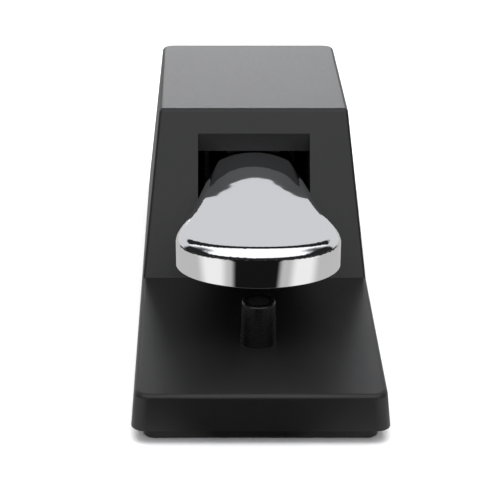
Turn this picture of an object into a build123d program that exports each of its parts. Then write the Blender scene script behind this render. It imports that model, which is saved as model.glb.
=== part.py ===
from build123d import *
from math import cos, radians, sqrt, tan
import os

# Sustain pedal for a keyboard: a chromed lever turns on a pin inside a moulded housing, and its paddle
# comes down onto a bumper post on the housing's low front deck. A steel plate closes the housing from
# below, and a rubber mat is glued under the plate.
# Millimetres. +Z is up, the paddle's toe points to -Y and the cable leaves through the rear wall at +Y.
# The origin is on the floor, under the middle of the base.
# A "reach" is a distance back from the front edge of the base.

# ---------- base and housing ----------
base_length = 245.0
base_width = 90.0
mat_thickness = 5.2
mat_inset = 4.0
mat_corner = 4.0
plate_thickness = 2.0
plate_gap = 0.4
wall = 2.5
draft = 6.2
corner_radius = 5.0
edge_radius = 1.6
deck_height = 18.4
face_foot_reach = 97.8
face_top_reach = 132.8
face_top_height = 75.8
roof_slope = 3.65
junction_radius = 0.4
brow_radius = 2.2
beyond = 30.0

# ---------- slot that the lever comes out of ----------
slot_half_width = 22.1
slot_top_reach = 127.6
sill_height = 33.0
lintel_bottom = 60.0
lintel_top = 67.0
lintel_thickness = 2.5
cheek_thickness = 2.0
cheek_depth = 14.0

# ---------- pedal lever ----------
paddle_top = 57.9
lever_top = 59.6
lever_skirt = 14.7
lever_wall = 1.5
top_fillet = 4.4
lip_fillet = 0.5
toe_reach = 34.2
paddle_half_width = 30.0
toe_depth = 21.8
flare_reach = 65.5
flare_half_width = 28.5
waist_reach = 82.5
waist_half_width = 23.7
neck_reach = 139.0
neck_half_width = 14.0
neck_bend_radius = 60.0
lever_end_reach = 216.0
pivot_reach = 203.0
pivot_height = 44.0
press_angle = 5.3
ear_radius = 8.0
touch_gap = 0.3

# The lever's top is nearly flat across the paddle and well rounded across the neck, and it rises a
# little towards the slot. Its surface runs through arched sections at an even pitch.
paddle_crown = 200.0
neck_crown = 60.0
crown_start_reach = 84.0
crown_end_reach = 116.0
rise_start_reach = 82.0
rise_end_reach = 124.0
section_half_width = 32.0
section_pitch = 14.0
section_count = 16
first_section_reach = 20.0

# ---------- bumper post ----------
post_reach = 43.1
post_height = 16.3
post_top_radius = 6.1
post_foot_radius = 6.45
post_rim_fillet = 0.9
bumper_radius = 4.3
bumper_depth = 5.0
bumper_dish = 0.25
post_screw_length = 9.0
boss_radius = 6.4
boss_length = 7.3

# ---------- pivot ----------
pin_radius = 3.0
pin_running_gap = 0.05
bush_radius = 4.5
bush_flange_radius = 7.0
bush_inner_lip = 1.0
bracket_inner = 17.5
bracket_sheet = 2.0
bracket_length = 26.0
bracket_top = 52.0
bracket_foot_half = 31.0
bracket_screw_x = 25.5
bracket_screw_pitch = 14.0
pin_overhang = 2.4
clip_thickness = 0.8
clip_outer_radius = 5.4
groove_radius = 2.4

# ---------- return spring ----------
spring_reach = 150.0
spring_seat_height = 2.0
spring_seat_radius = 10.0
spring_peg_radius = 5.6
spring_peg_height = 4.0
spring_mean_radius = 7.1
spring_wire_radius = 0.9
spring_turns = 8.0
spring_top = 51.6

# ---------- up stop ----------
stop_rib_reach = 138.0
stop_rib_half_width = 12.0
stop_rib_length = 10.0
felt_thickness = 5.0
felt_margin = 1.0

# ---------- switch ----------
switch_reach = 178.0
carrier_half_width = 11.0
carrier_half_length = 10.0
carrier_leg = 3.0
carrier_top = 31.0
carrier_deck = 3.0
carrier_foot = 5.0
pcb_thickness = 1.6
switch_width = 6.4
switch_length = 19.8
switch_height = 10.2
plunger_radius = 1.6
plunger_gap = 0.3
plunger_top = 46.0
plunger_length = 8.0
actuator_half_width = 4.0
actuator_length = 5.0
pcb_screw_x = 8.0
pcb_screw_y = 7.5

# ---------- polarity switch and cable gland, both in the rear wall ----------
rear_fitting_height = 18.0
gland_radius = 4.5
gland_bore_radius = 2.3
gland_flange_radius = 6.5
gland_flange_thickness = 2.2
gland_collar_radius = 5.6
gland_collar_thickness = 2.0
gland_boss_radius = 9.0
gland_seat_radius = 7.0
gland_seat_reach = 242.6
gland_boss_length = 4.0
polarity_x = 22.0
polarity_travel = 4.0
knob_width = 4.0
knob_height = 3.0
knob_gap = 0.3
knob_end_reach = 244.3
polarity_body_width = 14.0
polarity_body_height = 10.0
polarity_body_depth = 6.0
polarity_pad_reach = 239.5
slider_depth = 3.5

# ---------- screws ----------
screw_radius = 1.5
screw_head_radius = 2.9
screw_head_height = 2.0
screw_gap = 0.05
base_screw_length = 8.5
small_screw_length = 6.0
base_screw_x = 36.0
base_screw_reaches = (15.0, 113.0, 228.0)
screw_boss_radius = 4.0
screw_boss_height = 15.0
mat_hole_radius = 4.0

lead_radius = 0.6
lead_spacing = 2.4
lead_x = 26.0


def y_at(reach):
    """Y of a point that lies reach behind the front edge of the base."""
    return reach - base_length / 2


plate_top = mat_thickness + plate_thickness
lever_bottom = paddle_top - lever_skirt
post_top = deck_height + post_height
pivot_y = y_at(pivot_reach)
post_y = y_at(post_reach)
switch_y = y_at(switch_reach)
spring_y = y_at(spring_reach)
base_screw_spots = [(side * base_screw_x, y_at(reach)) for side in (-1, 1) for reach in base_screw_reaches]


def save(piece, name):
    """Label a finished piece and write it as its own STEP file."""
    piece.label = name
    export_step(piece, f"parts/{name}.step")


# ---------- shared shapes ----------
def shell_envelope(inset):
    """The housing's outer form, each face moved inwards by inset: a drafted block cut to the side profile."""
    side_inset = inset / cos(radians(draft))
    roof_rise = tan(radians(roof_slope))
    with BuildPart() as envelope:
        with BuildSketch(Plane.XY.offset(mat_thickness)):
            Rectangle(base_width - 2 * side_inset, base_length - 2 * side_inset)
        extrude(amount=face_top_height, taper=draft)
        fillet(envelope.edges().group_by(Axis.Z)[1], radius=corner_radius - inset)
        with BuildSketch(Plane.YZ) as profile:
            with BuildLine():
                Polyline(
                    (y_at(-beyond), -beyond),
                    (y_at(-beyond), deck_height),
                    (y_at(face_foot_reach), deck_height),
                    (y_at(face_top_reach), face_top_height),
                    (y_at(base_length + beyond),
                     face_top_height - (base_length + beyond - face_top_reach) * roof_rise),
                    (y_at(base_length + beyond), -beyond),
                    close=True,
                )
            make_face()
            foot = profile.vertices().sort_by_distance((y_at(face_foot_reach), deck_height, 0))[0]
            fillet(foot, radius=junction_radius)
            brow = profile.vertices().sort_by_distance((y_at(face_top_reach), face_top_height, 0))[0]
            fillet(brow, radius=brow_radius + inset)
            if inset > 0:
                offset(amount=-inset)
        extrude(amount=base_width, both=True, mode=Mode.INTERSECT)
    return envelope


def blend(reach, start, end):
    """Smooth change from 0 at the start reach to 1 at the end reach."""
    share = min(max((reach - start) / (end - start), 0.0), 1.0)
    return share**2 * (3 - 2 * share)


def lever_crown(inset):
    """Everything under the lever's top surface, that surface moved down by inset."""
    with BuildPart() as crown:
        for number in range(section_count):
            reach = first_section_reach + number * section_pitch
            rise = (lever_top - paddle_top) * blend(reach, rise_start_reach, rise_end_reach)
            ridge = paddle_top + rise - inset
            roundness = blend(reach, crown_start_reach, crown_end_reach)
            arch = 1 / ((1 - roundness) / paddle_crown + roundness / neck_crown) - inset
            edge = ridge - arch + sqrt(arch**2 - section_half_width**2)
            with BuildSketch(Plane.XZ.offset(-y_at(reach))):
                with BuildLine():
                    Polyline(
                        (section_half_width, edge),
                        (section_half_width, -beyond),
                        (-section_half_width, -beyond),
                        (-section_half_width, edge),
                    )
                    ThreePointArc((-section_half_width, edge), (0, ridge), (section_half_width, edge))
                make_face()
        loft()
    return crown


def under_crown(half_width):
    """Height of the inside of the lever's roof over the mechanism, half_width from the middle."""
    arch = neck_crown - lever_wall
    return lever_top - lever_wall - arch + sqrt(arch**2 - half_width**2)


def lever_block(inset):
    """The lever as a solid bar, its sides, toe and top moved inwards by inset."""
    bottom = 0.0 if inset > 0 else lever_bottom
    paddle = paddle_half_width - inset
    flare = flare_half_width - inset
    waist = waist_half_width - inset
    neck = neck_half_width - inset
    paddle_y = y_at(toe_reach) + toe_depth
    end_y = y_at(lever_end_reach) - inset
    crown = lever_crown(inset)
    with BuildPart() as block:
        with BuildSketch(Plane.XY.offset(bottom)) as sketch:
            with BuildLine():
                EllipticalCenterArc((0, paddle_y), paddle, toe_depth - inset, start_angle=270, arc_size=90)
                Spline(
                    (paddle, paddle_y),
                    (flare, y_at(flare_reach)),
                    (waist, y_at(waist_reach)),
                    tangents=[(0, 1), (neck - waist, neck_reach - waist_reach)],
                )
                Polyline((waist, y_at(waist_reach)), (neck, y_at(neck_reach)), (neck, end_y), (0, end_y))
                mirror(about=Plane.YZ)
            make_face()
            bends = sketch.vertices().group_by(lambda vertex: abs(vertex.Y - y_at(neck_reach)))[0]
            fillet(bends, radius=neck_bend_radius + inset)
        extrude(amount=face_top_height - bottom)
        if inset == 0:
            floor = block.faces().sort_by(Axis.Z)[0]
            fillet(floor.edges().sort_by(Axis.Y)[:-1], radius=lip_fillet)
        add(crown.part, mode=Mode.INTERSECT)
        sides = block.faces().filter_by(lambda face: abs(face.normal_at().Z) < 0.3)
        upper = block.faces().filter_by(lambda face: face.normal_at().Z > 0.7)
        fillet((sides.edges() & upper.edges()).sort_by(Axis.Y)[:-1], radius=top_fillet - inset)
    return block


def countersunk_screw(shank_length):
    """A screw that points up, with the flat of its countersunk head at the origin."""
    with BuildPart() as screw:
        with BuildSketch(Plane.XZ):
            with BuildLine():
                Polyline(
                    (0, 0),
                    (screw_head_radius, 0),
                    (screw_radius, screw_head_radius - screw_radius),
                    (screw_radius, shank_length),
                    (0, shank_length + screw_radius),
                    close=True,
                )
            make_face()
        revolve(axis=Axis.Z)
    return screw


def pan_screw(shank_length):
    """A screw that points down, with the underside of its pan head at the origin."""
    with BuildPart() as screw:
        with Locations((0, 0, screw_head_height / 2)):
            Cylinder(screw_head_radius, screw_head_height)
        fillet(screw.edges().sort_by(Axis.Z)[-1], radius=screw_head_height / 2)
        with Locations((0, 0, -shank_length / 2)):
            Cylinder(screw_radius, shank_length)
    return screw


def facing_down(x, y, z):
    """A plane at the point, looking at the floor."""
    return Plane(origin=(x, y, z), x_dir=(1, 0, 0), z_dir=(0, 0, -1))


# ---------- housing ----------
def make_ribs(cavity):
    """Everything moulded inside the housing: slot cheeks, lintel, stop rib, screw bosses and rear pads."""
    boss_middle = plate_top + screw_boss_height / 2
    with BuildPart() as ribs:
        for side in (-1, 1):
            cheek_x = side * (slot_half_width + cheek_thickness / 2)
            with Locations((cheek_x, y_at(slot_top_reach), face_top_height / 2)):
                Box(cheek_thickness, 2 * cheek_depth, face_top_height)
        with Locations(Plane.XY.offset(-beyond)):
            Box(base_width, base_length, sill_height + beyond,
                align=(Align.CENTER, Align.CENTER, Align.MIN), mode=Mode.SUBTRACT)
        with Locations((0, y_at(slot_top_reach), lintel_bottom)):
            Box(2 * slot_half_width, lintel_thickness, lintel_top - lintel_bottom,
                align=(Align.CENTER, Align.MIN, Align.MIN))
        with Locations((0, y_at(stop_rib_reach), lever_top + touch_gap + felt_thickness)):
            Box(2 * stop_rib_half_width, stop_rib_length, face_top_height,
                align=(Align.CENTER, Align.CENTER, Align.MIN))
        with Locations(*[(x, y, boss_middle) for x, y in base_screw_spots]):
            Cylinder(screw_boss_radius, screw_boss_height)
        for x, y in base_screw_spots:
            outward = 1 if x > 0 else -1
            with Locations((x + outward * screw_boss_radius, y, boss_middle)):
                Box(2 * screw_boss_radius, wall, screw_boss_height)
        with Locations(Plane(origin=(0, y_at(gland_seat_reach - gland_boss_length), rear_fitting_height),
                             z_dir=(0, 1, 0))):
            Cylinder(gland_boss_radius, 2 * gland_boss_length, align=(Align.CENTER, Align.CENTER, Align.MIN))
        with Locations((polarity_x, y_at(polarity_pad_reach), rear_fitting_height)):
            Box(polarity_body_width + 2 * wall, 2 * wall, polarity_body_height + wall,
                align=(Align.CENTER, Align.MIN, Align.CENTER))
        add(cavity.part, mode=Mode.INTERSECT)
    return ribs


def make_housing():
    """Low front deck and tall rear housing in one moulding, open underneath."""
    cavity = shell_envelope(wall)
    envelope = shell_envelope(0)
    ribs = make_ribs(cavity)
    with BuildPart() as shell:
        add(envelope.part)
        walls = shell.faces().filter_by(lambda face: 0.0 < face.normal_at().Z < 0.3)
        upper = shell.faces().filter_by(lambda face: face.normal_at().Z > 0.3)
        fillet(walls.edges() & upper.edges(), radius=edge_radius)
        add(cavity.part, mode=Mode.SUBTRACT)
        add(ribs.part)
        with Locations((0, y_at(slot_top_reach), sill_height)):
            Box(2 * slot_half_width, slot_top_reach - face_foot_reach + wall, lintel_top - sill_height + wall,
                align=(Align.CENTER, Align.MAX, Align.MIN), mode=Mode.SUBTRACT)
        with Locations(*[facing_down(x, y, plate_top) for x, y in base_screw_spots]):
            Hole(screw_radius + screw_gap, depth=base_screw_length + screw_radius)
        with Locations((0, post_y, deck_height)):
            Hole(screw_radius + screw_gap, depth=2 * wall)
        with Locations(Plane(origin=(0, y_at(gland_seat_reach), rear_fitting_height), z_dir=(0, 1, 0))):
            Cylinder(gland_seat_radius, 2 * wall, align=(Align.CENTER, Align.CENTER, Align.MIN),
                     mode=Mode.SUBTRACT)
            Cylinder(gland_radius, 4 * gland_boss_length, mode=Mode.SUBTRACT)
        with Locations((polarity_x, y_at(polarity_pad_reach), rear_fitting_height)):
            Box(knob_width + polarity_travel + 2 * knob_gap, 6 * wall, knob_height + 2 * knob_gap,
                mode=Mode.SUBTRACT)
    return shell


def make_base_plate():
    """Pressed steel plate inside the housing's rim."""
    inset = wall / cos(radians(draft)) + plate_gap
    with BuildPart() as plate:
        with BuildSketch(Plane.XY.offset(mat_thickness)):
            RectangleRounded(base_width - 2 * inset, base_length - 2 * inset, corner_radius - wall)
        extrude(amount=plate_thickness)
        with Locations(*[facing_down(x, y, mat_thickness) for x, y in base_screw_spots]):
            CounterSinkHole(screw_radius + screw_gap, screw_head_radius + screw_gap)
        with Locations(*[(x, y, plate_top) for x, y in bracket_screw_spots() + carrier_screw_spots()]):
            Hole(screw_radius + screw_gap)
    return plate


def make_rubber_mat():
    """Rubber mat under the plate, with clearance holes for the screw heads."""
    with BuildPart() as mat:
        with BuildSketch():
            RectangleRounded(base_width - 2 * mat_inset, base_length - 2 * mat_inset, mat_corner)
            with Locations(*base_screw_spots):
                Circle(mat_hole_radius, mode=Mode.SUBTRACT)
        extrude(amount=mat_thickness)
        chamfer(mat.faces().sort_by(Axis.Z)[0].outer_wire().edges(), length=0.6)
    return mat


def make_base_screws():
    """Six countersunk screws from below, into the housing's bosses."""
    screw = countersunk_screw(base_screw_length)
    with BuildPart() as screws:
        with Locations(*[(x, y, mat_thickness) for x, y in base_screw_spots]):
            add(screw.part)
    return screws


# ---------- bumper post ----------
def make_stop_post():
    """Moulded post on the deck, slightly tapered, with a cup in its top for the rubber bumper."""
    with BuildPart() as post:
        with BuildSketch(Plane.XZ.offset(-post_y)):
            with BuildLine():
                Polyline(
                    (0, deck_height),
                    (post_foot_radius, deck_height),
                    (post_top_radius, post_top),
                    (0, post_top),
                    close=True,
                )
            make_face()
        revolve(axis=Axis((0, post_y, 0), (0, 0, 1)))
        fillet(post.edges().sort_by(Axis.Z)[-1], radius=post_rim_fillet)
        with Locations((0, post_y, post_top)):
            Hole(bumper_radius, depth=bumper_depth)
        with Locations(facing_down(0, post_y, deck_height)):
            Hole(screw_radius + screw_gap, depth=post_screw_length)
    return post


def make_stop_bumper():
    """Rubber plug in the post's cup; its dished top takes the paddle."""
    with BuildPart() as bumper:
        with Locations((0, post_y, post_top - bumper_depth)):
            Cylinder(bumper_radius, bumper_depth - bumper_dish, align=(Align.CENTER, Align.CENTER, Align.MIN))
        fillet(bumper.edges().sort_by(Axis.Z)[-1], radius=0.5)
    return bumper


def make_post_screw():
    """Screw from under the deck that holds the post."""
    screw = pan_screw(post_screw_length)
    with BuildPart() as post_screw:
        with Locations(facing_down(0, post_y, deck_height - wall)):
            add(screw.part)
    return post_screw


# ---------- lever and pivot ----------
def at_rest(x, y, z):
    """The level plane that touches the point with the lever pressed, as it lies with the lever up."""
    pivot = Location((0, pivot_y, pivot_height))
    turn = Location((0, 0, 0), (-press_angle, 0, 0))
    return Plane(pivot * turn * pivot.inverse() * Location((x, y, z)))


def make_pedal_lever():
    """Hollow chromed lever: wide toe, tapering neck and a straight channel with two ears at the pivot."""
    core = lever_block(lever_wall)
    outer = lever_block(0)
    with BuildPart() as lever:
        add(outer.part)
        add(core.part, mode=Mode.SUBTRACT)
        for side in (-1, 1):
            ear_plane = Plane.YZ.offset(side * (neck_half_width - lever_wall / 2))
            with BuildSketch(ear_plane):
                with Locations((pivot_y, pivot_height)):
                    Circle(ear_radius)
                    Rectangle(2 * ear_radius, ear_radius, align=(Align.CENTER, Align.MIN))
            extrude(amount=lever_wall / 2, both=True)
        with Locations(at_rest(0, post_y, post_top + touch_gap)):
            Cylinder(boss_radius, boss_length, align=(Align.CENTER, Align.CENTER, Align.MIN))
        with Locations(Plane(origin=(0, pivot_y, pivot_height), z_dir=(1, 0, 0))):
            Cylinder(bush_radius + screw_gap, base_width, mode=Mode.SUBTRACT)
    return lever


def make_pivot_bush(side):
    """Flanged nylon bush in one ear; it turns on the pin."""
    across = Plane(origin=(side * (neck_half_width - lever_wall - bush_inner_lip), pivot_y, pivot_height),
                   z_dir=(side, 0, 0))
    flange_plane = Plane(origin=(side * neck_half_width, pivot_y, pivot_height), z_dir=(side, 0, 0))
    from_below = (Align.CENTER, Align.CENTER, Align.MIN)
    with BuildPart() as bush:
        with Locations(across):
            Cylinder(bush_radius, lever_wall + bush_inner_lip, align=from_below)
        with Locations(flange_plane):
            Cylinder(bush_flange_radius, bracket_inner - neck_half_width - touch_gap, align=from_below)
        with Locations(across):
            Cylinder(pin_radius + pin_running_gap, base_width, mode=Mode.SUBTRACT)
    return bush


def make_pivot_pin():
    """Steel pin across the bracket, grooved near both ends for its clips."""
    half = bracket_inner + bracket_sheet + pin_overhang
    with BuildPart() as pin:
        with Locations(Plane(origin=(0, pivot_y, pivot_height), z_dir=(1, 0, 0))):
            Cylinder(pin_radius, 2 * half)
        chamfer(pin.edges().filter_by(GeomType.CIRCLE), length=0.4)
        for side in (-1, 1):
            with Locations(clip_plane(side)):
                Cylinder(pin_radius + 1, clip_thickness, mode=Mode.SUBTRACT)
                Cylinder(groove_radius, clip_thickness)
    return pin


def clip_plane(side):
    """Plane across the pin at the middle of one retaining clip."""
    x = bracket_inner + bracket_sheet + 0.2 + clip_thickness / 2
    return Plane(origin=(side * x, pivot_y, pivot_height), z_dir=(1, 0, 0))


def make_pin_clips():
    """Two spring-steel clips in the pin's grooves, each open on one side."""
    with BuildPart() as clips:
        with Locations(clip_plane(-1), clip_plane(1)):
            Cylinder(clip_outer_radius, clip_thickness)
            Cylinder(groove_radius + screw_gap, clip_thickness, mode=Mode.SUBTRACT)
            Box(clip_outer_radius * 2, groove_radius, clip_thickness,
                align=(Align.MIN, Align.CENTER, Align.CENTER), mode=Mode.SUBTRACT)
    return clips


def bracket_screw_spots():
    """X and Y of the four screws through the bracket's feet."""
    return [
        (side * bracket_screw_x, pivot_y + end * bracket_screw_pitch / 2)
        for side in (-1, 1)
        for end in (-1, 1)
    ]


def make_pivot_bracket():
    """Folded steel bracket: a strip on the plate with two upright cheeks that hold the pin."""
    with BuildPart() as bracket:
        with Locations((0, pivot_y, plate_top)):
            Box(2 * bracket_foot_half, bracket_length, bracket_sheet,
                align=(Align.CENTER, Align.CENTER, Align.MIN))
        for side in (-1, 1):
            with BuildSketch(Plane.YZ.offset(side * (bracket_inner + bracket_sheet / 2))) as cheek:
                with Locations((pivot_y, plate_top)):
                    Rectangle(bracket_length, bracket_top - plate_top, align=(Align.CENTER, Align.MIN))
                fillet(cheek.vertices().group_by(Axis.Y)[-1], radius=ear_radius)
            extrude(amount=bracket_sheet / 2, both=True)
        with Locations(Plane(origin=(0, pivot_y, pivot_height), z_dir=(1, 0, 0))):
            Cylinder(pin_radius, base_width, mode=Mode.SUBTRACT)
        with Locations(*[(x, y, plate_top + bracket_sheet) for x, y in bracket_screw_spots()]):
            Hole(screw_radius + screw_gap, depth=bracket_sheet)
    return bracket


def make_bracket_screws():
    """Four pan-head screws through the bracket's feet into the plate."""
    screw = pan_screw(bracket_sheet + plate_thickness)
    with BuildPart() as screws:
        with Locations(*[(x, y, plate_top + bracket_sheet) for x, y in bracket_screw_spots()]):
            add(screw.part)
    return screws


# ---------- spring ----------
def make_spring_seat():
    """Nylon seat on the plate with a peg inside the spring's lower end."""
    from_below = (Align.CENTER, Align.CENTER, Align.MIN)
    with BuildPart() as seat:
        with Locations((0, spring_y, plate_top)):
            Cylinder(spring_seat_radius, spring_seat_height, align=from_below)
            Cylinder(spring_peg_radius, spring_seat_height + spring_peg_height, align=from_below)
    return seat


def make_spring_cup():
    """Nylon cup under the lever: a peg in the spring's upper end and a boss against the lever's roof."""
    from_above = (Align.CENTER, Align.CENTER, Align.MAX)
    roof = under_crown(spring_seat_radius) - screw_gap
    boss_roof = under_crown(spring_peg_radius) - screw_gap
    with BuildPart() as cup:
        with Locations((0, spring_y, roof)):
            Cylinder(spring_seat_radius, roof - spring_top, align=from_above)
        with Locations((0, spring_y, boss_roof)):
            Cylinder(spring_peg_radius, boss_roof - spring_top + spring_peg_height, align=from_above)
    return cup


def make_return_spring():
    """Steel compression spring that lifts the lever."""
    low = plate_top + spring_seat_height + spring_wire_radius
    high = spring_top - spring_wire_radius
    with BuildPart() as spring:
        with BuildLine(Plane(origin=(0, spring_y, low))) as path:
            Helix(pitch=(high - low) / spring_turns, height=high - low, radius=spring_mean_radius)
        with BuildSketch(Plane(origin=path.line @ 0, z_dir=path.line % 0)):
            Circle(spring_wire_radius)
        sweep(is_frenet=True)
    return spring


def make_up_stop_pad():
    """Felt block under the housing's stop rib; the lever rests against it."""
    with BuildPart() as pad:
        with Locations((0, y_at(stop_rib_reach), lever_top + touch_gap)):
            Box(2 * (stop_rib_half_width - felt_margin), stop_rib_length - 2 * felt_margin, felt_thickness,
                align=(Align.CENTER, Align.CENTER, Align.MIN))
    return pad


# ---------- switch ----------
def carrier_screw_spots():
    """X and Y of the two screws through the carrier's feet."""
    return [(side * (carrier_half_width + carrier_foot), switch_y) for side in (-1, 1)]


def pcb_screw_spots():
    """X and Y of the two screws that hold the circuit board."""
    return [(side * pcb_screw_x, switch_y + side * pcb_screw_y) for side in (-1, 1)]


def make_switch_carrier():
    """Plastic bridge on the plate that holds the circuit board under the lever."""
    with BuildPart() as carrier:
        with BuildSketch(Plane.XZ.offset(-switch_y)):
            with Locations((0, plate_top)):
                Rectangle(2 * carrier_half_width, carrier_top - plate_top, align=(Align.CENTER, Align.MIN))
                Rectangle(2 * (carrier_half_width + 2 * carrier_foot), carrier_leg,
                          align=(Align.CENTER, Align.MIN))
            with Locations((0, plate_top)):
                Rectangle(2 * (carrier_half_width - carrier_leg), carrier_top - carrier_deck - plate_top,
                          align=(Align.CENTER, Align.MIN), mode=Mode.SUBTRACT)
        extrude(amount=carrier_half_length, both=True)
        with Locations(*[(x, y, plate_top + carrier_leg) for x, y in carrier_screw_spots()]):
            Hole(screw_radius + screw_gap, depth=carrier_leg)
        with Locations(*[(x, y, carrier_top) for x, y in pcb_screw_spots()]):
            Hole(screw_radius + screw_gap, depth=small_screw_length)
    return carrier


def make_carrier_screws():
    """Two pan-head screws through the carrier's feet into the plate."""
    screw = pan_screw(carrier_leg + plate_thickness)
    with BuildPart() as screws:
        with Locations(*[(x, y, plate_top + carrier_leg) for x, y in carrier_screw_spots()]):
            add(screw.part)
    return screws


def make_switch_pcb():
    """Small circuit board on the carrier."""
    with BuildPart() as pcb:
        with BuildSketch(Plane.XY.offset(carrier_top)):
            with Locations((0, switch_y)):
                Rectangle(2 * carrier_half_width, 2 * carrier_half_length)
            with Locations(*pcb_screw_spots()):
                Circle(screw_radius + screw_gap, mode=Mode.SUBTRACT)
        extrude(amount=pcb_thickness)
    return pcb


def make_pcb_screws():
    """Two pan-head screws through the circuit board into the carrier."""
    screw = pan_screw(pcb_thickness + small_screw_length - screw_radius)
    with BuildPart() as screws:
        with Locations(*[(x, y, carrier_top + pcb_thickness) for x, y in pcb_screw_spots()]):
            add(screw.part)
    return screws


def make_microswitch_body():
    """Snap-action switch on the circuit board, with a well for its plunger."""
    body_bottom = carrier_top + pcb_thickness
    with BuildPart() as body:
        with Locations((0, switch_y, body_bottom)):
            Box(switch_width, switch_length, switch_height, align=(Align.CENTER, Align.CENTER, Align.MIN))
        chamfer(body.edges().filter_by(Axis.Z), length=0.5)
        with Locations((0, switch_y, body_bottom + switch_height)):
            Hole(plunger_radius + plunger_gap, depth=switch_height - wall)
    return body


def make_switch_plunger():
    """Plunger of the switch, pushed down by the lever's actuator."""
    with BuildPart() as plunger:
        with Locations((0, switch_y, plunger_top)):
            Cylinder(plunger_radius, plunger_length, align=(Align.CENTER, Align.CENTER, Align.MAX))
        fillet(plunger.edges().sort_by(Axis.Z)[-1], radius=0.8)
    return plunger


def make_switch_actuator():
    """Plastic foot under the lever that meets the switch's plunger."""
    bottom = plunger_top + touch_gap
    roof = under_crown(actuator_half_width)
    with BuildPart() as actuator:
        with Locations((0, switch_y, bottom)):
            Box(2 * actuator_half_width, actuator_length, roof - screw_gap - bottom,
                align=(Align.CENTER, Align.CENTER, Align.MIN))
    return actuator


def make_lead(shift):
    """One insulated lead, moved aside by shift: circuit board, round the bracket, polarity switch."""
    start = carrier_top + pcb_thickness / 2
    polarity_front = y_at(polarity_pad_reach) - polarity_body_depth - screw_gap
    with BuildPart() as lead:
        with BuildLine() as route:
            FilletPolyline(
                (carrier_half_width + screw_gap, switch_y + shift, start),
                (lead_x - shift, switch_y + shift, start),
                (lead_x - shift, pivot_y + bracket_length / 2, rear_fitting_height + shift),
                (polarity_x, polarity_front - lead_radius, rear_fitting_height + shift),
                radius=5.0,
            )
        with BuildSketch(Plane(origin=route.line @ 0, z_dir=route.line % 0)):
            Circle(lead_radius)
        sweep(path=route.line)
    return lead


def make_switch_leads():
    """The two leads side by side."""
    with BuildPart() as leads:
        for shift in (0, lead_spacing):
            add(make_lead(shift).part)
    return leads


# ---------- rear wall ----------
def make_cable_gland():
    """Rubber gland in the rear wall: flange outside, collar inside, and the cable's bore through it."""
    from_inside = (Align.CENTER, Align.CENTER, Align.MIN)
    inner_reach = gland_seat_reach - gland_boss_length
    collar_y = y_at(inner_reach - gland_collar_thickness)
    inner = Plane(origin=(0, collar_y, rear_fitting_height), z_dir=(0, 1, 0))
    seat = Plane(origin=(0, y_at(gland_seat_reach), rear_fitting_height), z_dir=(0, 1, 0))
    with BuildPart() as gland:
        with Locations(inner):
            Cylinder(gland_collar_radius, gland_collar_thickness, align=from_inside)
            Cylinder(gland_radius, gland_collar_thickness + gland_boss_length, align=from_inside)
        with Locations(seat):
            Cylinder(gland_flange_radius, gland_flange_thickness, align=from_inside)
        fillet(gland.edges().filter_by(GeomType.CIRCLE).sort_by(Axis.Y)[-1], radius=1.0)
        with Locations(inner):
            Cylinder(gland_bore_radius, base_width, mode=Mode.SUBTRACT)
    return gland


def make_polarity_body():
    """Case of the polarity slide switch, flat against its pad inside the rear wall."""
    with BuildPart() as body:
        with Locations((polarity_x, y_at(polarity_pad_reach), rear_fitting_height)):
            Box(polarity_body_width, polarity_body_depth, polarity_body_height,
                align=(Align.CENTER, Align.MAX, Align.CENTER))
            Box(knob_width + polarity_travel + 2 * knob_gap, 2 * (slider_depth + knob_gap),
                knob_height + 2 * knob_gap, mode=Mode.SUBTRACT)
    return body


def make_polarity_slider():
    """Slide knob of the polarity switch, at one end of its slot."""
    start = polarity_pad_reach - slider_depth
    with BuildPart() as slider:
        with Locations((polarity_x - polarity_travel / 2, y_at(start), rear_fitting_height)):
            Box(knob_width, knob_end_reach - start, knob_height,
                align=(Align.CENTER, Align.MIN, Align.CENTER))
        fillet(slider.faces().sort_by(Axis.Y)[-1].edges(), radius=0.4)
    return slider


def main():
    """Make every piece and write it."""
    os.makedirs("parts", exist_ok=True)
    save(make_housing().part, "housing_shell")
    save(make_base_plate().part, "base_plate")
    save(make_rubber_mat().part, "rubber_mat")
    save(make_base_screws().part, "base_screws")
    save(make_stop_post().part, "stop_post")
    save(make_stop_bumper().part, "stop_bumper")
    save(make_post_screw().part, "stop_post_screw")
    save(make_pedal_lever().part, "pedal_lever")
    save(make_pivot_bush(-1).part, "pivot_bush_left")
    save(make_pivot_bush(1).part, "pivot_bush_right")
    save(make_pivot_pin().part, "pivot_pin")
    save(make_pin_clips().part, "pin_clips")
    save(make_pivot_bracket().part, "pivot_bracket")
    save(make_bracket_screws().part, "bracket_screws")
    save(make_spring_seat().part, "spring_seat")
    save(make_spring_cup().part, "spring_cup")
    save(make_return_spring().part, "return_spring")
    save(make_up_stop_pad().part, "up_stop_pad")
    save(make_switch_carrier().part, "switch_carrier")
    save(make_carrier_screws().part, "carrier_screws")
    save(make_switch_pcb().part, "switch_pcb")
    save(make_pcb_screws().part, "pcb_screws")
    save(make_microswitch_body().part, "microswitch_body")
    save(make_switch_plunger().part, "switch_plunger")
    save(make_switch_actuator().part, "switch_actuator")
    save(make_switch_leads().part, "switch_leads")
    save(make_cable_gland().part, "cable_gland")
    save(make_polarity_body().part, "polarity_switch_body")
    save(make_polarity_slider().part, "polarity_slider")


main()
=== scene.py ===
from math import cos, pi, radians, sin

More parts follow.
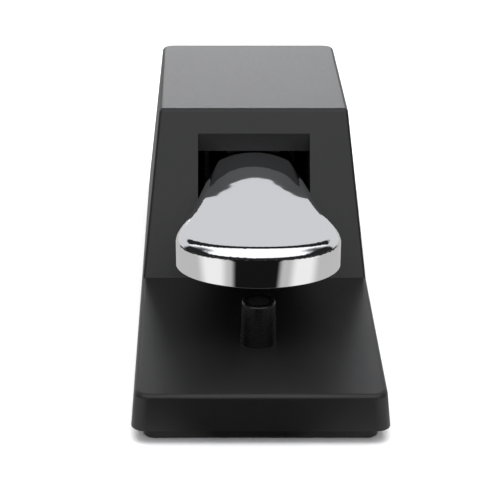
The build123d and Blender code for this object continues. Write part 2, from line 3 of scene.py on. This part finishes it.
import bmesh
import bpy
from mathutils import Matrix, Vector


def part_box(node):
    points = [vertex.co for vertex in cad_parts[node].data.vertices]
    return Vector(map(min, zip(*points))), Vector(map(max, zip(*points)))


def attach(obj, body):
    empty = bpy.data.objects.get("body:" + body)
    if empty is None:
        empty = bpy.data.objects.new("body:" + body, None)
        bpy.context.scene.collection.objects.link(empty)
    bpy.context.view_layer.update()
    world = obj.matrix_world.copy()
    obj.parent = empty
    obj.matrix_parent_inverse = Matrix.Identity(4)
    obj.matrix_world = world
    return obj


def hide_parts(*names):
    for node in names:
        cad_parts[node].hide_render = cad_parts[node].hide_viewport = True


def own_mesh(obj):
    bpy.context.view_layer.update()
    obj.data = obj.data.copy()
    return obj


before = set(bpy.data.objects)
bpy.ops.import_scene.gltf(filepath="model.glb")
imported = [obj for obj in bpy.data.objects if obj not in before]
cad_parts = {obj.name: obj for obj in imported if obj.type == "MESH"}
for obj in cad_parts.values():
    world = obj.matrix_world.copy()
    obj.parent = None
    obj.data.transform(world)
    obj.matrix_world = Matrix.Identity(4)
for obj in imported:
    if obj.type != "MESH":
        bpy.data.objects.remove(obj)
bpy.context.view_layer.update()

# Metres, in the frame of the CAD model: +Z up, the paddle's toe towards -Y, the rear wall at +Y.
MM = 0.001

# The reflected surroundings, as radiance; 1 shows as white.
DARK = 0.02
BACK_WALL = 0.70
BACK_PANEL = 6.5
SOFTBOX_FRONT = 1.25
SOFTBOX_ABOVE = 1.3
FLOOR = 0.56
FRONT_CORNERS = 0.42
FLOOR_GAP = 0.008

# The return spring.
SPRING_WIRE_RADIUS = 0.9 * MM
SPRING_TURNS = 9
RINGS_PER_TURN = 40
WIRE_SIDES = 12

# The lever's shading.
WELD_DISTANCE = 0.001 * MM
SHARP_ANGLE = 28
FACE_AREA_WEIGHT = 100


# ---------- camera, floor and lights ----------
def make_camera():
    """Looks down on the toe from the front, a little left of the middle plane."""
    data = bpy.data.cameras.new("camera")
    data.sensor_width = 36
    data.lens = 129.9
    data.shift_x = 0.0914
    data.clip_start = 0.01
    camera = bpy.data.objects.new("camera", data)
    camera.location = (-0.0196, -0.6654, 0.3150)
    camera.rotation_euler = (radians(90 - 23.97), 0, 0)
    bpy.context.scene.collection.objects.link(camera)
    bpy.context.scene.camera = camera


def make_plane(name, width, centre):
    """A level square that isn't part of the object."""
    mesh = bpy.data.meshes.new(name)
    half = width / 2
    corners = [(-half, -half, 0), (half, -half, 0), (half, half, 0), (-half, half, 0)]
    mesh.from_pydata(corners, [], [(0, 1, 2, 3)])
    plane = bpy.data.objects.new(name, mesh)
    plane.location = centre
    bpy.context.scene.collection.objects.link(plane)
    return plane


def light_card(card, colour):
    """Makes a card glow and show only in reflections; returns its node tree and the strength's socket."""
    material = bpy.data.materials.new(card.name)
    material.use_nodes = True
    tree = material.node_tree
    tree.nodes.clear()
    glow = tree.nodes.new("ShaderNodeEmission")
    glow.inputs["Color"].default_value = (*colour, 1)
    out = tree.nodes.new("ShaderNodeOutputMaterial")
    tree.links.new(glow.outputs[0], out.inputs["Surface"])
    card.data.materials.append(material)
    card.visible_camera = False
    card.visible_diffuse = False
    card.visible_shadow = False
    card.visible_transmission = False
    return tree, glow.inputs["Strength"]


def make_softbox(name, centre, aim, size, power):
    """A soft square light aimed at a point; the world already shows it in reflections."""
    data = bpy.data.lights.new(name, "AREA")
    data.shape = "RECTANGLE"
    data.size = size
    data.size_y = size
    data.energy = power
    light = bpy.data.objects.new(name, data)
    light.location = centre
    light.rotation_euler = (Vector(aim) - Vector(centre)).to_track_quat("-Z", "Y").to_euler()
    light.visible_glossy = False
    bpy.context.scene.collection.objects.link(light)


def map_range(tree, value, low, high, to_low=0.0, to_high=1.0):
    """Smooth change from to_low to to_high as value goes from low to high."""
    node = tree.nodes.new("ShaderNodeMapRange")
    node.interpolation_type = "SMOOTHSTEP"
    node.inputs["From Min"].default_value = low
    node.inputs["From Max"].default_value = high
    node.inputs["To Min"].default_value = to_low
    node.inputs["To Max"].default_value = to_high
    tree.links.new(value, node.inputs["Value"])
    return node.outputs["Result"]


def math_node(tree, operation, first, second=None):
    """One Math node on sockets or numbers."""
    node = tree.nodes.new("ShaderNodeMath")
    node.operation = operation
    for socket, value in zip(node.inputs, (first, second)):
        if isinstance(value, (int, float)):
            socket.default_value = value
        elif value is not None:
            tree.links.new(value, socket)
    return node.outputs[0]


def product(tree, first, *others):
    """The product of several sockets or numbers."""
    result = first
    for other in others:
        result = math_node(tree, "MULTIPLY", result, other)
    return result


def largest(tree, first, *others):
    """The largest of several sockets or numbers."""
    result = first
    for other in others:
        result = math_node(tree, "MAXIMUM", result, other)
    return result


def make_world():
    """Light tent: a dim back wall with a bright low panel, a softbox in front and above, the rest dark."""
    world = bpy.data.worlds.new("studio")
    bpy.context.scene.world = world
    world.use_nodes = True
    tree = world.node_tree
    direction = tree.nodes.new("ShaderNodeTexCoord").outputs["Generated"]
    split = tree.nodes.new("ShaderNodeSeparateXYZ")
    tree.links.new(direction, split.inputs[0])
    back, up = split.outputs["Y"], split.outputs["Z"]
    aside = math_node(tree, "ABSOLUTE", split.outputs["X"])
    # up, back and aside are parts of the unit direction; 1.0001 keeps the root above zero straight up.
    level = math_node(tree, "SQRT", math_node(tree, "SUBTRACT", 1.0001, product(tree, up, up)))
    heading = math_node(tree, "DIVIDE", back, level)
    wall = product(
        tree,
        map_range(tree, heading, 0.25, 0.40, DARK, BACK_WALL),
        map_range(tree, up, 0.50, 0.56, 1.0, DARK),
    )
    panel = product(
        tree,
        map_range(tree, heading, 0.975, 0.995, 0.0, BACK_PANEL),
        map_range(tree, up, 0.22, 0.33, 1.0, 0.0),
        map_range(tree, up, 0.08, 0.18),
    )
    width = map_range(tree, up, 0.50, 0.90, 0.85, 0.62)
    softbox = product(
        tree,
        map_range(tree, math_node(tree, "SUBTRACT", width, aside), 0.0, 0.10),
        map_range(tree, up, 0.32, 0.37),
        map_range(tree, back, 0.36, 0.42, 1.0, 0.0),
        map_range(tree, up, 0.75, 0.95, SOFTBOX_FRONT, SOFTBOX_ABOVE),
    )
    background = tree.nodes["Background"]
    background.inputs["Color"].default_value = (0.975, 0.98, 1.0, 1)
    tree.links.new(largest(tree, wall, panel, softbox, DARK), background.inputs["Strength"])


def heading_step(tree, heading, start, end):
    """0 below the heading start and 1 above end, both in degrees."""
    return map_range(tree, heading, radians(start), radians(end))


def opposite(tree, value):
    """1 minus a value."""
    return math_node(tree, "SUBTRACT", 1.0, value)


def make_glow_card():
    """The floor as reflections show it: dark straight ahead and far off, brightest at the front corners."""
    card = make_plane("glow_card", 6, (0, -0.09, 0.001))
    tree, strength = light_card(card, (1.0, 0.982, 0.962))
    split = tree.nodes.new("ShaderNodeSeparateXYZ")
    tree.links.new(object_coordinates(tree), split.inputs[0])
    across, along = split.outputs["X"], split.outputs["Y"]
    heading = math_node(tree, "ARCTAN2", across, product(tree, along, -1.0))
    aside = math_node(tree, "ABSOLUTE", heading)
    squares = math_node(tree, "ADD", product(tree, across, across), product(tree, along, along))
    distance = math_node(tree, "SQRT", squares)
    left = opposite(tree, heading_step(tree, heading, -36, -27))
    right = heading_step(tree, heading, 22, 31)
    corners = product(
        tree,
        heading_step(tree, aside, 36, 50),
        opposite(tree, heading_step(tree, aside, 66, 84)),
        FRONT_CORNERS,
    )
    behind = heading_step(tree, aside, 115, 130)
    light = product(
        tree,
        largest(tree, left, right),
        math_node(tree, "ADD", corners, FLOOR),
        largest(tree, behind, map_range(tree, distance, 0.28, 0.38, 1.0, DARK)),
    )
    tree.links.new(largest(tree, light, FLOOR_GAP), strength)


def make_studio():
    """Pale floor in the light tent, and the card on it that reflections show."""
    floor = make_plane("floor", 8, (0, 0, 0))
    material, _, _ = new_material("floor_paper", (0.95, 0.95, 0.95), 0.9)
    floor.data.materials.append(material)
    make_world()
    make_softbox("softbox_top", (0, 0.1, 1.4), (0, 0, 0), 1.6, 25.0)
    make_glow_card()
    bpy.context.scene.view_settings.view_transform = "Standard"


# ---------- materials ----------
def new_material(name, colour, roughness, metallic=0.0):
    """A Principled material and the pieces of its node tree that the other functions build on."""
    material = bpy.data.materials.new(name)
    material.use_nodes = True
    tree = material.node_tree
    shader = tree.nodes["Principled BSDF"]
    shader.inputs["Base Color"].default_value = (*colour, 1)
    shader.inputs["Roughness"].default_value = roughness
    shader.inputs["Metallic"].default_value = metallic
    return material, tree, shader


def object_coordinates(tree):
    """Texture coordinates in metres, fixed to the piece."""
    return tree.nodes.new("ShaderNodeTexCoord").outputs["Object"]


def add_noise(tree, scale, detail=4.0, coordinates=None):
    """A noise texture; scale is waves per metre."""
    noise = tree.nodes.new("ShaderNodeTexNoise")
    noise.inputs["Scale"].default_value = scale
    noise.inputs["Detail"].default_value = detail
    tree.links.new(coordinates or object_coordinates(tree), noise.inputs["Vector"])
    return noise.outputs["Fac"]


def add_ramp(tree, value, low, high, low_colour, high_colour):
    """A colour ramp between two greys or colours."""
    ramp = tree.nodes.new("ShaderNodeValToRGB")
    ramp.color_ramp.elements[0].position = low
    ramp.color_ramp.elements[1].position = high
    ramp.color_ramp.elements[0].color = (*low_colour, 1)
    ramp.color_ramp.elements[1].color = (*high_colour, 1)
    tree.links.new(value, ramp.inputs["Fac"])
    return ramp.outputs["Color"]


def add_bump(tree, shader, height, distance):
    """Bump from a height between 0 and 1; distance is its real depth in metres."""
    bump = tree.nodes.new("ShaderNodeBump")
    bump.inputs["Strength"].default_value = 1.0
    bump.inputs["Distance"].default_value = distance
    tree.links.new(height, bump.inputs["Height"])
    previous = shader.inputs["Normal"].links
    if previous:
        tree.links.new(previous[0].from_socket, bump.inputs["Normal"])
    tree.links.new(bump.outputs["Normal"], shader.inputs["Normal"])


def stretched(tree, stretch):
    """Object coordinates scaled unevenly, for grain that runs along one axis."""
    mapping = tree.nodes.new("ShaderNodeMapping")
    mapping.inputs["Scale"].default_value = stretch
    tree.links.new(object_coordinates(tree), mapping.inputs["Vector"])
    return mapping.outputs["Vector"]


def shade_of(colour, factor):
    """A colour made lighter or darker."""
    return tuple(min(1.0, factor * channel) for channel in colour)


def moulded_plastic(name, colour, roughness, grain_depth):
    """Moulded plastic: a fine spark-eroded grain, slight unevenness in its gloss and faint cloudiness."""
    material, tree, shader = new_material(name, colour, roughness)
    grain = add_noise(tree, 2600, 3.0)
    cloud = add_noise(tree, 30, 3.0)
    mottle = add_ramp(tree, cloud, 0.3, 0.7, colour, shade_of(colour, 1.35))
    tree.links.new(mottle, shader.inputs["Base Color"])
    gloss = add_ramp(tree, grain, 0.3, 0.7, (roughness - 0.05,) * 3, (roughness + 0.05,) * 3)
    tree.links.new(gloss, shader.inputs["Roughness"])
    add_bump(tree, shader, grain, grain_depth)
    return material


def rubber(name, colour):
    """Moulded rubber: dull, with a chalky bloom and small pits."""
    material, tree, shader = new_material(name, colour, 0.7)
    shader.inputs["Specular IOR Level"].default_value = 0.35
    bloom = add_noise(tree, 60, 5.0)
    pits = add_noise(tree, 1800, 2.0)
    chalk = add_ramp(tree, bloom, 0.35, 0.75, colour, shade_of(colour, 1.6))
    tree.links.new(chalk, shader.inputs["Base Color"])
    tree.links.new(add_ramp(tree, bloom, 0.3, 0.7, (0.62,) * 3, (0.8,) * 3), shader.inputs["Roughness"])
    add_bump(tree, shader, pits, 0.00004)
    return material


def chrome_plate(name):
    """Polished chrome plate: mirror bright, with the long low waves of a buffed casting."""
    material, tree, shader = new_material(name, (0.86, 0.865, 0.885), 0.035, 1.0)
    wave = add_noise(tree, 45, 1.0)
    haze = add_noise(tree, 160, 4.0)
    tree.links.new(add_ramp(tree, haze, 0.35, 0.75, (0.03,) * 3, (0.06,) * 3), shader.inputs["Roughness"])
    add_bump(tree, shader, wave, 0.00004)
    return material


def plated_steel(name, colour, roughness, stretch):
    """Zinc-plated or ground steel: fine lines along one axis and cloudy passivation."""
    material, tree, shader = new_material(name, colour, roughness, 1.0)
    lines = add_noise(tree, 900, 3.0, stretched(tree, stretch))
    cloud = add_noise(tree, 120, 4.0)
    mottle = add_ramp(tree, cloud, 0.3, 0.75, shade_of(colour, 0.8), colour)
    tree.links.new(mottle, shader.inputs["Base Color"])
    gloss = add_ramp(tree, lines, 0.25, 0.75, (roughness - 0.08,) * 3, (roughness + 0.1,) * 3)
    tree.links.new(gloss, shader.inputs["Roughness"])
    add_bump(tree, shader, lines, 0.000015)
    return material


def powder_coat(name, colour):
    """Powder-coated steel: an orange-peel surface with a soft sheen."""
    material, tree, shader = new_material(name, colour, 0.45)
    peel = add_noise(tree, 700, 2.0)
    speck = add_noise(tree, 3000, 2.0)
    flecks = add_ramp(tree, speck, 0.4, 0.7, colour, shade_of(colour, 1.5))
    tree.links.new(flecks, shader.inputs["Base Color"])
    tree.links.new(add_ramp(tree, peel, 0.3, 0.7, (0.4,) * 3, (0.52,) * 3), shader.inputs["Roughness"])
    add_bump(tree, shader, peel, 0.00005)
    return material


def needle_felt(name, colour):
    """Needle felt: matted fibres of mixed greys with a deep nap."""
    material, tree, shader = new_material(name, colour, 0.95)
    fibres = add_noise(tree, 1500, 6.0, stretched(tree, (1, 3, 1)))
    greys = add_ramp(tree, fibres, 0.3, 0.7, shade_of(colour, 0.5), shade_of(colour, 1.6))
    tree.links.new(greys, shader.inputs["Base Color"])
    add_bump(tree, shader, fibres, 0.0003)
    return material


def circuit_board(name):
    """Green solder mask over glass weave, with lighter copper tracks under it."""
    material, tree, shader = new_material(name, (0.01, 0.09, 0.03), 0.3)
    weave = tree.nodes.new("ShaderNodeTexChecker")
    weave.inputs["Scale"].default_value = 1400
    tree.links.new(object_coordinates(tree), weave.inputs["Vector"])
    tracks = tree.nodes.new("ShaderNodeTexBrick")
    tracks.inputs["Scale"].default_value = 180
    tracks.inputs["Mortar Size"].default_value = 0.03
    tracks.inputs["Color1"].default_value = (0.01, 0.09, 0.03, 1)
    tracks.inputs["Color2"].default_value = (0.01, 0.11, 0.035, 1)
    tracks.inputs["Mortar"].default_value = (0.03, 0.2, 0.06, 1)
    tree.links.new(object_coordinates(tree), tracks.inputs["Vector"])
    tree.links.new(tracks.outputs["Color"], shader.inputs["Base Color"])
    add_bump(tree, shader, weave.outputs["Fac"], 0.00001)
    add_bump(tree, shader, tracks.outputs["Fac"], 0.00003)
    return material


def assign(material, *names):
    """Gives CAD nodes a material in their own slot."""
    for name in names:
        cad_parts[name].material_slots[0].material = material


def make_materials():
    """Every CAD node gets its material; returns the spring's, for the piece that stands in for it."""
    assign(moulded_plastic("housing_plastic", (0.0045, 0.0045, 0.0048), 0.42, 0.00004), "housing_shell")
    assign(moulded_plastic("post_plastic", (0.004, 0.004, 0.0043), 0.25, 0.000008), "stop_post")
    assign(chrome_plate("chrome_plate"), "pedal_lever")
    assign(rubber("mat_rubber", (0.006, 0.006, 0.006)), "rubber_mat")
    assign(rubber("bumper_rubber", (0.006, 0.006, 0.006)), "stop_bumper")
    assign(rubber("gland_rubber", (0.008, 0.008, 0.008)), "cable_gland")
    assign(powder_coat("plate_steel", (0.012, 0.012, 0.013)), "base_plate")
    assign(plated_steel("bracket_steel", (0.62, 0.62, 0.6), 0.35, (1, 1, 12)), "pivot_bracket")
    assign(plated_steel("pin_steel", (0.7, 0.7, 0.71), 0.22, (20, 1, 1)), "pivot_pin")
    screws = ("base_screws", "bracket_screws", "carrier_screws", "pcb_screws", "stop_post_screw")
    assign(plated_steel("screw_steel", (0.55, 0.55, 0.52), 0.33, (1, 1, 8)), *screws)
    spring_steel = plated_steel("spring_steel", (0.5, 0.5, 0.52), 0.3, (1, 1, 6))
    assign(spring_steel, "return_spring", "pin_clips")
    assign(needle_felt("felt", (0.04, 0.04, 0.044)), "up_stop_pad")
    nylon_parts = ("pivot_bush_left", "pivot_bush_right", "spring_seat", "spring_cup")
    assign(moulded_plastic("nylon", (0.62, 0.6, 0.52), 0.4, 0.00001), *nylon_parts)
    assign(circuit_board("pcb_laminate"), "switch_pcb")
    black_parts = ("switch_carrier", "microswitch_body", "switch_actuator", "polarity_switch_body")
    assign(moulded_plastic("switch_plastic", (0.01, 0.01, 0.011), 0.35, 0.00001), *black_parts)
    assign(moulded_plastic("plunger_plastic", (0.35, 0.03, 0.02), 0.3, 0.000005), "switch_plunger")
    assign(moulded_plastic("knob_plastic", (0.55, 0.55, 0.54), 0.32, 0.000008), "polarity_slider")
    assign(moulded_plastic("lead_insulation", (0.012, 0.012, 0.013), 0.4, 0.00001), "switch_leads")
    return spring_steel


# ---------- return spring ----------
def coil_height(share, closed_rise):
    """Height along the coil, 0 to 1, at a share of its turns; its end turns rise by closed_rise only."""
    closed = 1 / SPRING_TURNS
    if share < closed:
        return closed_rise * share / closed
    if share > 1 - closed:
        return 1 - closed_rise * (1 - share) / closed
    return closed_rise + (1 - 2 * closed_rise) * (share - closed) / (1 - 2 * closed)


def make_spring(material):
    """Compression spring with closed ends, as tall as the CAD part it stands in for."""
    low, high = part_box("return_spring")
    mean = (high[0] - low[0]) / 2 - SPRING_WIRE_RADIUS
    axis = Vector(((low[0] + high[0]) / 2, (low[1] + high[1]) / 2, low[2] + SPRING_WIRE_RADIUS))
    rise = high[2] - low[2] - 2 * SPRING_WIRE_RADIUS
    closed_rise = 2 * SPRING_WIRE_RADIUS / rise
    up = Vector((0, 0, 1))
    rings = SPRING_TURNS * RINGS_PER_TURN
    points = []
    for number in range(rings + 1):
        share = number / rings
        angle = 2 * pi * SPRING_TURNS * share
        outward = Vector((cos(angle), sin(angle), 0))
        centre = axis + mean * outward + rise * coil_height(share, closed_rise) * up
        for side in range(WIRE_SIDES):
            turn = 2 * pi * side / WIRE_SIDES
            points.append(centre + SPRING_WIRE_RADIUS * (cos(turn) * outward + sin(turn) * up))
    faces = [tuple(range(WIRE_SIDES))[::-1], tuple(rings * WIRE_SIDES + side for side in range(WIRE_SIDES))]
    for ring in range(rings):
        start = ring * WIRE_SIDES
        for side in range(WIRE_SIDES):
            following = (side + 1) % WIRE_SIDES
            faces.append((start + side, start + following,
                          start + WIRE_SIDES + following, start + WIRE_SIDES + side))
    mesh = bpy.data.meshes.new("coil_spring")
    mesh.from_pydata(points, [], faces)
    for polygon in mesh.polygons:
        polygon.use_smooth = len(polygon.vertices) == 4
    shell = bmesh.new()
    shell.from_mesh(mesh)
    bmesh.ops.recalc_face_normals(shell, faces=shell.faces)
    shell.to_mesh(mesh)
    shell.free()
    mesh.materials.append(material)
    spring = bpy.data.objects.new("coil_spring", mesh)
    bpy.context.scene.collection.objects.link(spring)
    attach(spring, "base")
    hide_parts("return_spring")
    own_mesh(spring)


# ---------- lever ----------
def make_lever():
    """The lever with normals weighted by area, so that its flats stay flat up to their rounded edges."""
    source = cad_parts["pedal_lever"]
    shell = bmesh.new()
    shell.from_mesh(source.data)
    bmesh.ops.remove_doubles(shell, verts=shell.verts, dist=WELD_DISTANCE)
    points = [vertex.co.copy() for vertex in shell.verts]
    faces = [[vertex.index for vertex in face.verts] for face in shell.faces]
    shell.free()
    mesh = bpy.data.meshes.new("lever_shell")
    mesh.from_pydata(points, [], faces)
    for polygon in mesh.polygons:
        polygon.use_smooth = True
    mesh.set_sharp_from_angle(angle=radians(SHARP_ANGLE))
    mesh.materials.append(source.material_slots[0].material)
    lever = bpy.data.objects.new("lever_shell", mesh)
    bpy.context.scene.collection.objects.link(lever)
    weighting = lever.modifiers.new("weighting", "WEIGHTED_NORMAL")
    weighting.keep_sharp = True
    weighting.weight = FACE_AREA_WEIGHT
    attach(lever, "pedal")
    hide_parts("pedal_lever")


make_camera()
make_studio()
make_spring(make_materials())
make_lever()
